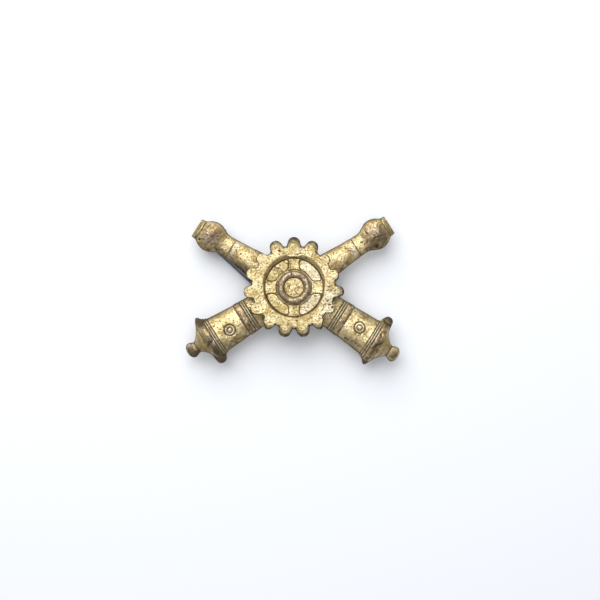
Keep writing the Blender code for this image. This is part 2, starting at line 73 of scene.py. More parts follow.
# The breech ends in a flared base ring: a point on one side, a shoulder on the other.
POINT_SIDE = (
    (18.1, 3.95), (18.8, 4.35), (19.3, 4.9), (19.65, 5.15), (20.0, 4.8), (20.3, 4.2),
    (20.65, 3.4), (21.1, 2.66), (21.6, 1.98), (22.1, 1.42), (22.4, 1.24),
)
SHOULDER_SIDE = (
    (18.1, 4.0), (18.8, 4.25), (19.4, 4.35), (20.0, 4.25), (20.25, 3.7), (20.6, 2.9),
    (21.1, 2.2), (21.6, 1.68), (22.1, 1.3), (22.4, 1.2),
)
KNOB_HALVES = ((22.65, 1.2), (22.95, 1.36), (23.25, 1.5), (23.6, 1.56))
CROWN_HEIGHTS = (
    (-22.55, 0.75), (-22.2, 1.15), (-21.85, 1.5), (-21.6, 1.58), (-21.3, 1.75), (-20.5, 2.15), (-19.1, 2.4),
    (-17.6, 2.0), (-16.5, 1.6), (-14.0, 1.62), (-9.9, 1.88), (-5.0, 2.2), (-2.5, 2.34),
    (0.0, 2.36), (8.0, 2.38), (9.6, 2.42), (12.4, 2.6), (17.5, 2.85), (18.2, 3.05),
    (19.2, 3.35), (20.0, 3.25), (20.4, 2.7), (21.2, 1.9), (22.1, 1.25), (22.5, 1.1),
    (23.0, 1.25), (23.6, 1.35),
)
MUZZLE_END = -22.4
KNOB_MIDDLE, KNOB_RUN = 23.6, 1.08
MUZZLE_EASE = 0.12  # round edge of the muzzle's face
STRUCK_EDGE = 0.38  # height of the trimmed edge that stands square to the back
SHEET = 0.6
LUG_RISE = 1.5
TRUNNION_PLACE, TRUNNION_ASIDE = 15.1, 0.48
TRUNNION_RINGS = ((-0.15, 1.1, 0.14), (0.05, 0.82, 0.16), (-0.06, 0.54, 0.08))  # height, radius, width
NET_STEP = 0.085  # between the points of the struck relief


def soften(values, step, width):
    """Rounds the corners of a run of values, as a struck edge is rounded."""
    reach = max(1, int(3 * width / step))
    bell = np.exp(-0.5 * (np.arange(-reach, reach + 1) * step / width) ** 2)
    padded = np.pad(values, reach, mode="edge")
    return np.convolve(padded, bell / bell.sum(), mode="valid")


def run_of(stations, along):
    """A size all along the barrel, from its values at a few stations."""
    places, sizes = zip(*stations)
    fine = np.arange(along.min() - 1, along.max() + 1, 0.02)
    return np.interp(along, fine, soften(np.interp(fine, places, sizes), 0.02, 0.1))


def ridge(along, middle, half, sharp=4):
    """A raised ring or band, 1 on its crown and 0 past its sides."""
    return np.exp(-np.abs((along - middle) / half) ** sharp)


def spot(along, aside, place, size, stretch=1.0, turn=0.0):
    """A dent or a patch, 1 in its middle."""
    ahead, over = along - place[0], aside - place[1]
    c, s = math.cos(turn), math.sin(turn)
    return np.exp(-(((ahead * c + over * s) / stretch) ** 2 + (over * c - ahead * s) ** 2) / size**2)


def spots(along, aside, given):
    """A list of dents or patches together: place, size, depth or amount, stretch, turn."""
    total = np.zeros_like(along)
    for place, size, amount, stretch, turn in given:
        total += amount * spot(along, aside, place, size, stretch, turn)
    return total


def lumps(x, y, seed, wave, count=14):
    """Slow unevenness of hand-finished metal, from about -1 to 1."""
    draw = np.random.default_rng(seed)
    total = np.zeros_like(x)
    for _ in range(count):
        bearing, phase = draw.uniform(0, 2 * math.pi, 2)
        pitch = 2 * math.pi / (wave * draw.uniform(0.6, 1.8))
        total += np.sin(pitch * (x * math.cos(bearing) + y * math.sin(bearing)) + phase)
    return total / math.sqrt(count)


# Rings and grooves that the die cuts round the barrel: height, place, half width, squareness.
RINGS = (
    (0.04, -13.95, 0.42, 4), (-0.06, -14.52, 0.11, 2), (-0.045, -21.5, 0.14, 2),
    (0.2, 10.06, 0.14, 2), (0.22, 10.54, 0.14, 2), (-0.12, 9.78, 0.09, 2), (-0.14, 10.3, 0.07, 2),
    (0.2, 11.42, 0.58, 6), (-0.1, 10.76, 0.08, 2), (-0.1, 12.14, 0.1, 2),
    (0.2, 18.06, 0.14, 2), (0.2, 18.52, 0.14, 2), (-0.13, 17.86, 0.09, 2), (-0.1, 18.3, 0.07, 2),
    (-0.13, 18.76, 0.11, 2), (-0.06, 20.45, 0.1, 2), (-0.1, 22.5, 0.12, 2),
)


def mouldings(along):
    """Height in mm of the turned rings along the barrel."""
    return sum(height * ridge(along, middle, half, sharp) for height, middle, half, sharp in RINGS)


def quads_between(rows, columns, start=0, closed=False):
    """Faces of a net of points, rows by columns."""
    i, j = np.meshgrid(np.arange(rows - 1), np.arange(columns - (not closed)), indexing="ij")
    here = i * columns + j
    side = i * columns + (j + 1) % columns
    net = np.stack([here, side, side + columns, here + columns], -1).reshape(-1, 4)
    return net + start


def wall_between(ring, other):
    """Faces from one closed ring of points to another, given their numbers."""
    return np.stack([ring, np.roll(ring, -1), np.roll(other, -1), other], -1)


def metal_piece(name, points, quads, place, caps=()):
    """A piece from its points in mm, with its round ends capped, set in its place on the badge."""
    mesh = bpy.data.meshes.new(name)
    mesh.from_pydata((points * MM).tolist(), [], quads.tolist() + [list(cap) for cap in caps])
    tidy = bmesh.new()
    tidy.from_mesh(mesh)
    bmesh.ops.recalc_face_normals(tidy, faces=tidy.faces)
    tidy.to_mesh(mesh)
    tidy.free()
    mesh.polygons.foreach_set("use_smooth", [True] * len(mesh.polygons))
    piece = bpy.data.objects.new(name, mesh)
    piece.matrix_world = place
    bpy.context.scene.collection.objects.link(piece)
    return piece


def weather(piece, worn=None, soiled_and_shaded=None, pale=None, passes=(4, 60), depths=(0.009, 0.13)):
    """Marks how deep in a crease and how proud each point is, for the grime with painted shade in creases,
    and for the rub.

    A point is measured against the surface eased by a few and by many passes, in mm.
    """
    mesh = piece.data
    count = len(mesh.vertices)
    places, outward = np.empty(count * 3), np.empty(count * 3)
    mesh.vertices.foreach_get("co", places)
    mesh.vertices.foreach_get("normal", outward)
    places, outward = places.reshape(-1, 3) / MM, outward.reshape(-1, 3)
    ends = np.empty(len(mesh.edges) * 2, int)
    mesh.edges.foreach_get("vertices", ends)
    one, other = ends.reshape(-1, 2).T
    share = np.bincount(one, minlength=count) + np.bincount(other, minlength=count)
    eased, grime_and_shade, rub = places.copy(), np.zeros(count), np.zeros(count)
    for turn in range(1, passes[1] + 1):
        near = np.stack(
            [np.bincount(one, eased[other, k], count) + np.bincount(other, eased[one, k], count)
             for k in range(3)], 1)
        eased = 0.5 * eased + 0.5 * near / share[:, None]
        if turn in passes:
            # a hollow point is darkened: grime and painted shade in the crease
            hollow = ((eased - places) * outward).sum(1) / depths[passes.index(turn)]
            grime_and_shade = np.maximum(grime_and_shade, np.clip(hollow, 0, 1))
            rub = np.maximum(rub, 0.35 * np.clip(-hollow, 0, 1))
    paleness = np.zeros(count)
    for mark, given in ((rub, worn), (grime_and_shade, soiled_and_shaded), (paleness, pale)):
        if given is not None:
            mark[: given.size] = np.maximum(mark[: given.size], given.ravel())
    for label, values in (("grime_and_shade", grime_and_shade), ("rub", rub), ("pale", paleness)):
        mesh.attributes.new(label, "FLOAT", "POINT").data.foreach_set("value", values)


PALE_GOLD, GOLD_FLECK, BROWN_SPECK = (0.76, 0.71, 0.57), (0.78, 0.70, 0.48), (0.2, 0.14, 0.05)
# the crease colour stands for grime and for painted shade
ORANGE_TARNISH, CREASE_DIRT_AND_SHADE = (0.42, 0.24, 0.075), (0.075, 0.052, 0.024)
BARE_TOMBAK, WORN_TOMBAK = (0.17, 0.11, 0.068), (0.36, 0.27, 0.195)


def cloud(finish, scale, detail=3.0, rough=0.55, shift=0.0, drawn=1.0):
    """Cloudy unevenness in a finish; drawn is under 1 where the metal was drawn lengthwise."""
    nodes, wires = finish.node_tree.nodes, finish.node_tree.links
    where = nodes.new("ShaderNodeMapping")
    where.inputs["Location"].default_value = (shift, shift * 0.7, shift * 0.3)
    where.inputs["Scale"].default_value = (drawn, 1, 1)
    wires.new(nodes.new("ShaderNodeTexCoord").outputs["Object"], where.inputs["Vector"])
    noise = nodes.new("ShaderNodeTexNoise")
    for label, number in {"Scale": scale, "Detail": detail, "Roughness": rough}.items():
        noise.inputs[label].default_value = number
    wires.new(where.outputs["Vector"], noise.inputs["Vector"])
    return noise.outputs["Fac"]


def grained(finish, height, depth):
    """Gives a finish its fine pits or scratches, depth in metres."""
    relief = finish.node_tree.nodes.new("ShaderNodeBump")
    relief.inputs["Distance"].default_value = depth
    finish.node_tree.links.new(height, relief.inputs["Height"])
    shader = finish.node_tree.nodes["Principled BSDF"]
    finish.node_tree.links.new(relief.outputs["Normal"], shader.inputs["Normal"])


def old_gilding(name, bright, deep, roughness, bare=BARE_TOMBAK, worn=WORN_TOMBAK, speckled=0.545):
    """Worn fire gilding: pale gold, olive where thin, bare tombak where rubbed, grime and painted shade in
    creases, pale gold also as painted highlights.
    """
    finish = bpy.data.materials.new(name)
    finish.use_nodes = True
    nodes, wires = finish.node_tree.nodes, finish.node_tree.links
    shader = nodes["Principled BSDF"]

    def stretch(value, low, high, bottom=0.0, top=1.0):
        span = nodes.new("ShaderNodeMapRange")
        span.interpolation_type = "SMOOTHSTEP"
        ends = {"From Min": low, "From Max": high, "To Min": bottom, "To Max": top}
        for label, number in ends.items():
            span.inputs[label].default_value = number
        wires.new(value, span.inputs["Value"])
        return span.outputs["Result"]

    def blend(amount, under, over):
        mix = nodes.new("ShaderNodeMix")
        mix.data_type = "RGBA"
        wires.new(amount, mix.inputs["Factor"])
        for socket, colour in ((mix.inputs["A"], under), (mix.inputs["B"], over)):
            if isinstance(colour, tuple):
                socket.default_value = (*colour, 1)
            else:
                wires.new(colour, socket)
        return mix.outputs["Result"]

    def sums(kind, a, b):
        sum_node = nodes.new("ShaderNodeMath")
        sum_node.operation = kind
        sum_node.use_clamp = kind != "SUBTRACT"
        for socket, value in zip(sum_node.inputs, (a, b)):
            if isinstance(value, (int, float)):
                socket.default_value = value
            else:
                wires.new(value, socket)
        return sum_node.outputs["Value"]

    def mark(label):
        attribute = nodes.new("ShaderNodeAttribute")
        attribute.attribute_name = label
        return attribute.outputs["Fac"]

    patches = stretch(cloud(finish, 420, 5, 0.62), 0.38, 0.66)
    gold = blend(patches, bright, deep)
    gold = blend(mark("pale"), gold, PALE_GOLD)
    fleck = stretch(cloud(finish, 2300, 2, 0.5, 0.3), 0.58, 0.7, 0.0, 0.6)
    gold = blend(fleck, gold, GOLD_FLECK)
    speck = stretch(cloud(finish, 2700, 3, 0.6, 0.9), speckled, speckled + 0.1, 0.0, 0.85)
    gold = blend(speck, gold, BROWN_SPECK)
    warm = stretch(cloud(finish, 650, 4, 0.6, 1.7), 0.52, 0.68, 0.0, 0.55)
    gold = blend(warm, gold, ORANGE_TARNISH)
    patchy = stretch(cloud(finish, 1300, 4), 0.3, 0.55, 0.35, 1.0)
    rubbed = sums("MULTIPLY", stretch(mark("rub"), 0.25, 0.85), patchy)
    metal = blend(rubbed, gold, blend(stretch(cloud(finish, 1500, 3), 0.35, 0.65), bare, worn))
    # dark brown for grime and painted shade, from the mark that each piece sets
    caked = stretch(cloud(finish, 1500, 3), 0.25, 0.5, 0.7, 1.0)
    crease = sums("MULTIPLY", stretch(mark("grime_and_shade"), 0.15, 0.85), caked)
    metal = blend(crease, metal, CREASE_DIRT_AND_SHADE)
    wires.new(metal, shader.inputs["Base Color"])
    dullness = stretch(cloud(finish, 900, 4), 0.3, 0.7, roughness - 0.08, roughness + 0.1)
    dullness = sums("ADD", dullness, sums("MULTIPLY", crease, 0.3))
    wires.new(dullness, shader.inputs["Roughness"])
    wires.new(sums("SUBTRACT", 1.0, sums("MULTIPLY", crease, 0.7)), shader.inputs["Metallic"])
    pits = sums("SUBTRACT", cloud(finish, 2300, 4, 0.6), sums("MULTIPLY", speck, 0.5))
    grained(finish, pits, 0.00012)
    return finish


cannon_gilding = old_gilding(
    "cannon_gilding", (0.70, 0.57, 0.32), (0.36, 0.265, 0.1), roughness=0.47, speckled=0.565)


# Painted highlights on the crowns of the bands, rings and swell, on all the barrels.
HIGHLIGHT_PLACES = (
    ((-13.9, 0.2), 0.5, 0.7, 3.0, 1.57),
    ((19.5, 0.3), 0.35, 0.7, 2.4, 1.4),
    ((12.55, 0.0), 0.12, 0.6, 16, 1.57),
    ((-19.2, -0.5), 0.9, 0.5, 1.0, 0.0),
)
# painted highlight lines along the crests of the breech rings
HIGHLIGHT_CRESTS = (10.08, 10.52, 18.08, 18.5)


def cannon(
        name, start, end, place, seed, dents, rubs, stains, south, lug_at, bow,
        start_slant=0.0, end_slant=0.0):
    """One struck length of cannon, from start to end along the barrel, in mm.

    South is the side, -1 or 1, that faces down the badge, and is darkened with painted shade. Bow is how far
    each end bends aside.
    """
    lug_along, lug_aside, lug_round = lug_at
    step = NET_STEP
    whole_muzzle, whole_breech = start <= MUZZLE_END, end >= KNOB_MIDDLE
    along = np.arange(start, min(end, KNOB_MIDDLE) + step / 2, step)
    point_half = run_of(MUZZLE_HALVES + POINT_SIDE + KNOB_HALVES, along)
    shoulder_half = run_of(MUZZLE_HALVES + SHOULDER_SIDE + KNOB_HALVES, along)
    crown = run_of(CROWN_HEIGHTS, along)
    rings = mouldings(along)
    lug_half = lug_aside + np.sqrt(np.clip(lug_round**2 - (along - lug_along) ** 2, 0, None))
    lug_half = np.where(np.abs(along - lug_along) < lug_round, lug_half, 0)
    sides = {-1: point_half + 0.3 * rings, 1: shoulder_half + 0.3 * rings}
    edges = {-1: sides[-1], 1: soften(np.maximum(sides[1], lug_half), step, 0.09)}
    shrink = np.ones_like(along)
    if whole_breech:  # the round end of the knob
        turn = np.radians(np.arange(6, 90, 7))
        along = np.append(along, KNOB_MIDDLE + KNOB_RUN * np.sin(turn))
        shrink = np.append(shrink, np.cos(turn))
    if whole_muzzle:  # the rounded edge and the square face of the muzzle
        turn = np.radians(np.arange(80, -1, -20))
        along = np.append(MUZZLE_END - MUZZLE_EASE * np.sin(turn), along)
    extra_front = 5 if whole_muzzle else 0
    extra_back = len(along) - extra_front - len(crown)

    def full(values):
        return np.pad(values, (extra_front, extra_back), mode="edge")

    crown, rings, shrink = full(crown), full(rings), np.pad(shrink, (extra_front, 0), mode="edge")
    inset = np.zeros_like(along)
    if whole_muzzle:
        inset[:extra_front] = MUZZLE_EASE * (1 - np.cos(turn))
    around = np.radians(np.linspace(-90, 90, 97))
    across = np.sin(around)[None, :]
    left = across < 0
    shrink, inset = shrink[:, None], inset[:, None]
    edge = np.where(left, full(edges[-1])[:, None], full(edges[1])[:, None]) * shrink - inset
    body = np.where(left, full(sides[-1])[:, None], full(sides[1])[:, None]) * shrink - inset
    aside = edge * across
    run = np.repeat(along[:, None], aside.shape[1], 1)
    top = (crown + rings)[:, None] * shrink - inset
    fall = np.clip(1 - (aside / body) ** 2, 0, 1)
    foot = np.minimum(STRUCK_EDGE, 0.5 * top)
    height = foot + (top - foot) * fall**0.44
    lug = np.clip(1 - ((run - lug_along) ** 2 + (aside - lug_aside) ** 2) / lug_round**2, 0, 1)
    if whole_breech:
        boss = foot + LUG_RISE * np.sqrt(lug)
        height = np.where(aside > 2.5, np.maximum(height, boss), height)
        from_ring = np.hypot(run - TRUNNION_PLACE, aside - TRUNNION_ASIDE)
        for rise, ring, width in TRUNNION_RINGS:
            height += rise * ridge(from_ring, ring, width, 2)
        height += 0.12 * ridge(from_ring, 0, 0.3)
    uneven = 0.045 * lumps(run, aside, seed, 2.6) + 0.016 * lumps(run, aside, seed + 1, 0.8)
    height += uneven * np.sqrt(fall)
    height -= spots(run, aside, dents)
    height = np.maximum(height, 0.02)
    if start_slant:  # the end that is cut to meet the other barrel's side
        run = run + start_slant * aside * np.clip(1 - (run - start) / 4, 0, 1)
    if end_slant:
        run = run + end_slant * aside * np.clip(1 - (end - run) / 4, 0, 1)
    leaning = np.where(run > 0, bow[1], bow[0]) * (run / 20) ** 2
    front = np.stack([run, aside + leaning, height], -1)

    def down_to_back(net):
        """Adds the square trimmed edge all round the net, down to the flat back."""
        lowered = []
        if net[0, :, 2].max() > 0.1:
            for share in (0.0, 0.35, 0.7):
                lowered.append(net[0] * (1, 1, share))
        rows = np.concatenate([np.array(lowered).reshape(-1, net.shape[1], 3), net])
        if net[-1, :, 2].max() > 0.1:
            tail = np.array([net[-1] * (1, 1, share) for share in (0.7, 0.35, 0.0)])
            rows = np.concatenate([rows, tail])
        else:
            rows[-1, :, 2] = 0
        flat = rows[:, [0, -1]].copy()
        flat[..., 2] = 0
        return np.concatenate([flat[:, :1], rows, flat[:, 1:]], 1), len(lowered)

    # the hollow back: the same relief, one sheet thickness in, and softer
    reach = (run - run.mean()) / (run.max() - run.min())
    soft_edge = np.stack([soften(edge[:, k], step, 0.35) for k in (0, -1)], 1)
    inner_half = np.clip(np.where(left, soft_edge[:, :1], soft_edge[:, 1:]) - SHEET, 0.12, None)
    inner_top = np.clip(soften(top[:, 0], step, 0.35)[:, None] - SHEET, 0.08, None)
    hollow = np.stack([
        run - 2 * SHEET * reach,
        inner_half * across + leaning,
        np.maximum(inner_top * np.sqrt(np.clip(1 - across**2, 0, 1)), 0.06),
    ], -1)
    outer, rows_added = down_to_back(front)
    inner, _ = down_to_back(hollow)
    if inner.shape != outer.shape:
        shortfall = outer.shape[0] - inner.shape[0]
        inner = np.concatenate([inner, np.repeat(inner[-1:], max(shortfall, 0), 0)])[: outer.shape[0]]
    rows, columns = outer.shape[:2]
    points = np.concatenate([outer.reshape(-1, 3), inner.reshape(-1, 3)])
    numbers = np.arange(rows * columns).reshape(rows, columns)
    rim = np.concatenate([numbers[0], numbers[1:, -1], numbers[-1, -2::-1], numbers[-2:0:-1, 0]])
    lip = wall_between(rim, rim + rows * columns)
    net = quads_between(rows, columns)
    piece = metal_piece(name, points, np.concatenate([net, net + rows * columns, lip]), place)
    worn = 0.95 * ridge(run, 11.42, 0.62, 6) + 0.9 * ridge(run, 19.55, 0.75, 4)
    worn += 0.6 * lug
    worn += spots(run, aside, rubs)
    worn = np.clip(worn * (0.75 + 0.5 * lumps(run, aside, seed + 5, 0.9)), 0, 1)
    # painted shade along the steep sides of the barrel
    steep_side_shade = np.clip((np.abs(across) - 0.82) / 0.14, 0, 1) * np.ones_like(run)
    # painted shade: the side that faces down the badge is darkened, only a little on the through cannon's
    # breech
    painted_south_shade = np.clip((south * across - 0.1) / 0.8, 0, 1)
    painted_south_shade = painted_south_shade * np.where((run > 0) & (south < 0), 0.15, 1.0)
    soiled_and_shaded = 0.5 * painted_south_shade * (1 + 0.35 * lumps(run, aside, seed + 7, 1.3))
    soiled_and_shaded = np.maximum(0.72 * steep_side_shade, soiled_and_shaded)
    soiled_and_shaded += 0.5 * lug * (aside > lug_aside - 0.2)
    soiled_and_shaded += spots(run, aside, stains)
    # painted highlights in pale gold
    pale = spots(run, aside, HIGHLIGHT_PLACES)
    for crest in HIGHLIGHT_CRESTS:
        pale += 0.9 * ridge(run, crest, 0.14, 2) * fall
    # painted highlight on the trunnion's middle and on its ring's crest
    if whole_breech:
        pale += 0.9 * ridge(from_ring, 0, 0.36)
        pale += 0.5 * ridge(from_ring, 0.82, 0.14, 2)
    soiled_and_shaded += 0.8 * np.clip((-aside - 4.1) / 0.5, 0, 1)  # the point of the base ring

    def laid_out(values, edge_value=0.0):
        sheet = np.full((rows, columns), edge_value)
        sheet[rows_added:rows_added + len(run), 1:-1] = values
        return sheet

    soiled_and_shaded, pale = np.clip(soiled_and_shaded, 0, 1), np.clip(pale, 0, 1)
    # the square trimmed edge outside the face is given 0.3 of painted shade
    weather(piece, laid_out(worn), laid_out(soiled_and_shaded, 0.3), laid_out(pale))
    piece.data.materials.append(cannon_gilding)
    return piece


def laid(bearing):
    """Where a barrel lies on the badge when its breech points along the bearing."""
    return Matrix.Translation((centre_x, centre_y, back_z)) @ Matrix.Rotation(bearing, 4, "Z")


through_place = laid(-BARREL_ANGLE)
PAST_KNOB = 30.0
# Dents, rubs and stains: place, size, depth or amount, stretch, turn.
THROUGH_DENTS = (
    ((-20.74, -1.66), 0.24, 0.5, 1.0, 0.0),
    ((-12.33, 0.06), 0.13, 0.2, 1.0, 0.0),
    ((-18.3, 1.2), 0.35, 0.12, 2.2, 0.5),
    ((-14.5, -0.5), 0.1, 0.12, 6.0, 1.57),
    ((19.9, -0.4), 0.3, 0.4, 3.5, 1.15),
    ((19.4, 1.6), 0.3, 0.2, 2.0, -0.9),
    ((16.6, -0.1), 0.12, 0.08, 1.0, 0.0),
)
THROUGH_RUBS = (
    ((-19.4, 0.1), 1.7, 1.6, 1.3, 0.0),
    ((-16.6, -1.4), 0.6, 0.8, 4.0, 0.0),
    ((-9.4, -1.7), 0.5, 0.9, 5.0, 0.0),
    ((15.2, -2.6), 0.6, 0.9, 4.5, 0.1),
    ((20.8, -1.6), 0.7, 0.9, 1.6, 0.6),
    ((23.8, -0.4), 1.0, 1.0, 1.0, 0.0),
)
THROUGH_STAINS = (
    ((23.6, 0.0), 1.7, 0.62, 1.0, 0.0),
    ((-19.2, 0.1), 1.1, 0.5, 1.3, 0.8),
    ((19.7, -1.2), 0.62, 0.75, 4.2, 1.57),
    ((11.4, -1.6), 0.4, 0.5, 2.5, 1.57),
)
through_cannon = cannon(
    "struck_through_cannon", MUZZLE_END, PAST_KNOB, through_place, 3,
    THROUGH_DENTS, THROUGH_RUBS, THROUGH_STAINS,
    south=-1, lug_at=(19.3, 4.62, 1.0), bow=(-0.24, -0.45))
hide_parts("through_cannon")
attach(through_cannon, "badge")

# ------------------------------
# The crossing cannon. The same strike as the other, cut in two where the through barrel
# passes, and soldered against its sides: the breech at the lower left and the muzzle at
# the upper right.
cross_place = laid(math.pi + BARREL_ANGLE)
crossing_angle = 2 * BARREL_ANGLE
BARREL_SIDE, SOLDER_FILM = 3.22, 0.1
butt = (BARREL_SIDE + SOLDER_FILM) / math.sin(crossing_angle)
lean = math.cos(crossing_angle) / math.sin(crossing_angle)
BREECH_DENTS = (
    ((19.7, 0.6), 0.35, 0.3, 2.6, 0.4),
    ((19.8, 3.3), 0.5, 0.45, 1.2, 0.0),
    ((14.4, 1.9), 0.13, 0.12, 1.0, 0.0),
)
BREECH_RUBS = (
    ((23.9, 0.2), 1.5, 1.9, 1.0, 0.0),
    ((19.6, 1.2), 0.9, 0.9, 1.6, 1.57),
    ((16.2, 2.6), 0.6, 0.9, 3.2, -0.1),
    ((12.4, 2.0), 0.5, 0.7, 2.4, 0.0),
)
BREECH_STAINS = (
    ((23.7, 0.2), 1.7, 0.66, 1.0, 0.0),
    ((19.4, 2.6), 0.6, 0.6, 1.8, 1.57),
    ((19.2, -3.7), 1.1, 1.0, 1.0, 0.0),
    ((19.7, 0.6), 0.6, 0.5, 3.4, 1.57),
    ((11.4, 1.6), 0.4, 0.45, 2.5, 1.57),
)
MUZZLE_STAINS = (
    ((-19.3, 0.9), 1.3, 0.5, 1.4, 0.2),
    ((-20.6, -0.6), 0.5, 0.5, 2.4, 1.4),
)
MUZZLE_RUBS = (
    ((-19.3, 0.2), 2.0, 1.5, 1.1, 0.0),
    ((-16.8, 1.6), 0.6, 0.9, 3.6, 0.1),
    ((-10.5, 1.8), 0.5, 0.8, 4.0, 0.0),
)
MUZZLE_DENTS = (
    ((-18.09, 2.18), 0.27, 0.75, 1.0, 0.0),
    ((-15.9, -0.2), 0.16, 0.15, 1.0, 0.0),
    ((-19.6, 0.8), 0.13, 0.17, 9.0, -0.26),
    ((-17.7, -1.2), 0.16, 0.14, 3.0, 1.57),
)
cross_breech = cannon(
    "struck_cross_breech", butt, PAST_KNOB, cross_place, 11,
    BREECH_DENTS, BREECH_RUBS, BREECH_STAINS,
    south=1, lug_at=(19.55, 4.2, 1.12), bow=(-0.33, -0.2), start_slant=-lean)
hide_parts("cross_breech")
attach(cross_breech, "badge")
cross_muzzle = cannon(
    "struck_cross_muzzle", MUZZLE_END, -butt, cross_place, 17,
    MUZZLE_DENTS, MUZZLE_RUBS, MUZZLE_STAINS,
    south=1, lug_at=(19.5, 4.2, 1.1), bow=(-0.33, -0.2), end_slant=-lean)
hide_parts("cross_muzzle")
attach(cross_muzzle, "badge")

# ------------------------------
# The cogwheel. A thick blank of the same gilt metal, struck with fifteen round-topped
# teeth that slope out to their feet, and a dish with four spokes and four sunk windows.
# The hub rivet holds it on the crossing of the cannons.
wheel_low, wheel_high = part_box("cogwheel")
WHEEL_FOOT = (wheel_low.z - back_z) / MM
WHEEL_FACE = (wheel_high.z - back_z) / MM
TEETH = 15
FOOT_ROOT, FOOT_TIP, FOOT_LOBE = 8.2, 9.9, 1.3
FACE_ROOT, FACE_TIP, FACE_LOBE = 7.6, 8.3, 0.85
OVER_BARREL = 0.26  # how far a tooth's wall slopes out where it stands over a barrel
DISH_EDGE, DISH_FOOT, DISH_FLOOR = 6.06, 5.76, WHEEL_FACE - 0.8
SPOKE_HALF, WINDOW_INNER, WINDOW_OUTER, WINDOW_SINK = 1.05, 3.64, 5.62, 0.22


def toothed(bearing, root, tip, lobe):
    """How far out the wheel's edge is at each bearing."""
    pitch = 2 * math.pi / TEETH
    off = (bearing - math.pi / 2 + pitch / 2) % pitch - pitch / 2
    middle = tip - lobe
    reach = np.clip(lobe**2 - (middle * np.sin(off)) ** 2, 0, None)
    edge = np.maximum(root, np.where(reach > 0, middle * np.cos(off) + np.sqrt(reach), root))
    ring = np.concatenate([edge[-12:], edge, edge[:12]])
    return soften(ring, 1, 1.7)[12:-12]


def wheel_relief(x, y):
    """Height in mm of the wheel's face inside the teeth."""
    out = np.hypot(x, y)
    sunny = np.clip(y / np.maximum(out, 0.1), 0, 1) ** 0.8
    edge = DISH_EDGE + 0.72 * sunny * (1 - ridge(x, 0, 1.45))
    slope = np.clip((out - DISH_FOOT) / (edge - DISH_FOOT), 0, 1)
    height = DISH_FLOOR + (WHEEL_FACE - DISH_FLOOR) * np.sin(math.pi / 2 * slope) ** 1.05
    straight = np.minimum(np.abs(x), 0.86 * np.abs(y))
    waist = SPOKE_HALF + 0.3 * np.clip((np.abs(out - 4.6) - 0.35) / 1.1, 0, 1) ** 1.6
    inside = np.stack([out - WINDOW_OUTER, WINDOW_INNER - out, waist - straight])
    corner = 0.28
    inside = corner * np.log(np.exp(inside / corner * 1.6).sum(0)) / 1.6
    window = 1 / (1 + np.exp(inside / 0.045))
    dish = out < edge
    height = height - WINDOW_SINK * window * dish
    height = height - 0.17 * ridge(inside, 0, 0.09, 2) * dish
    height = height - 0.15 * ridge(out, DISH_FOOT, 0.1, 2)
    return height - 0.14 * ridge(out, 3.42, 0.12, 2), window * dish


WHEEL_BORE = 1.3
# Knocks in the wheel's face: place, size, depth.
WHEEL_DENTS = (
    ((-2.84, 7.13), 0.17, 0.3), ((0.6, -5.9), 0.16, 0.22), ((0.6, -6.55), 0.15, 0.2),
    ((6.9, -3.4), 0.3, 0.16), ((7.5, -3.9), 0.25, 0.2), ((6.6, -2.7), 0.22, 0.16),
    ((7.9, -3.0), 0.3, 0.18), ((1.3, 6.6), 0.18, 0.12), ((0.7, 6.35), 0.16, 0.1),
)
bearings = np.linspace(0, 2 * math.pi, 600, endpoint=False)
# The faces of the side teeth reach further out, those at the left the furthest.
reaching = np.abs(np.cos(bearings)) ** 0.8 * (0.75 - 0.25 * np.cos(bearings))
face_edge = toothed(
    bearings, FACE_ROOT + 0.5 * reaching, FACE_TIP + 1.35 * reaching, FACE_LOBE + 0.3 * reaching)
# A tooth over a barrel stops at the barrel, and a tooth between two barrels slopes on down.
off_the_barrel = np.abs(np.degrees(np.arcsin(np.abs(np.sin(bearings)))) - math.degrees(BARREL_ANGLE))
free = np.clip((off_the_barrel - 17) / 8, 0, 1)
free = free * free * (3 - 2 * free)
foot_edge = np.maximum(toothed(bearings, FOOT_ROOT, FOOT_TIP, FOOT_LOBE), face_edge + OVER_BARREL)
foot_edge = face_edge + OVER_BARREL + (foot_edge - face_edge - OVER_BARREL) * free
tooth_height = WHEEL_FACE - WHEEL_FOOT
rings_out = []
for out in np.concatenate([[WHEEL_BORE, 2.2, 3.0], np.arange(3.3, 7.0, 0.062)]):
    rings_out.append((np.full_like(bearings, out), None))
flat_start = rings_out[-1][0]
for share in np.linspace(0.03, 1, 34):
    rings_out.append((flat_start + (face_edge - flat_start) * share, None))
SLOPED = 0.84  # share of a tooth's height that slopes; the rest is the square cut edge
for share in np.linspace(0.06, 1, 17):
    fall = tooth_height * SLOPED * share**1.3
    rings_out.append((face_edge + (foot_edge - face_edge) * share, fall))
for share in (0.33, 0.66, 1.0):
    rings_out.append((foot_edge, tooth_height * (SLOPED + (1 - SLOPED) * share)))
for out in (foot_edge * 0.97, foot_edge * 0.8, foot_edge * 0.5, np.full_like(bearings, WHEEL_BORE)):
    rings_out.append((out, tooth_height))
wheel_points, wheel_worn, wheel_soiled_and_shaded, wheel_pale = [], [], [], []
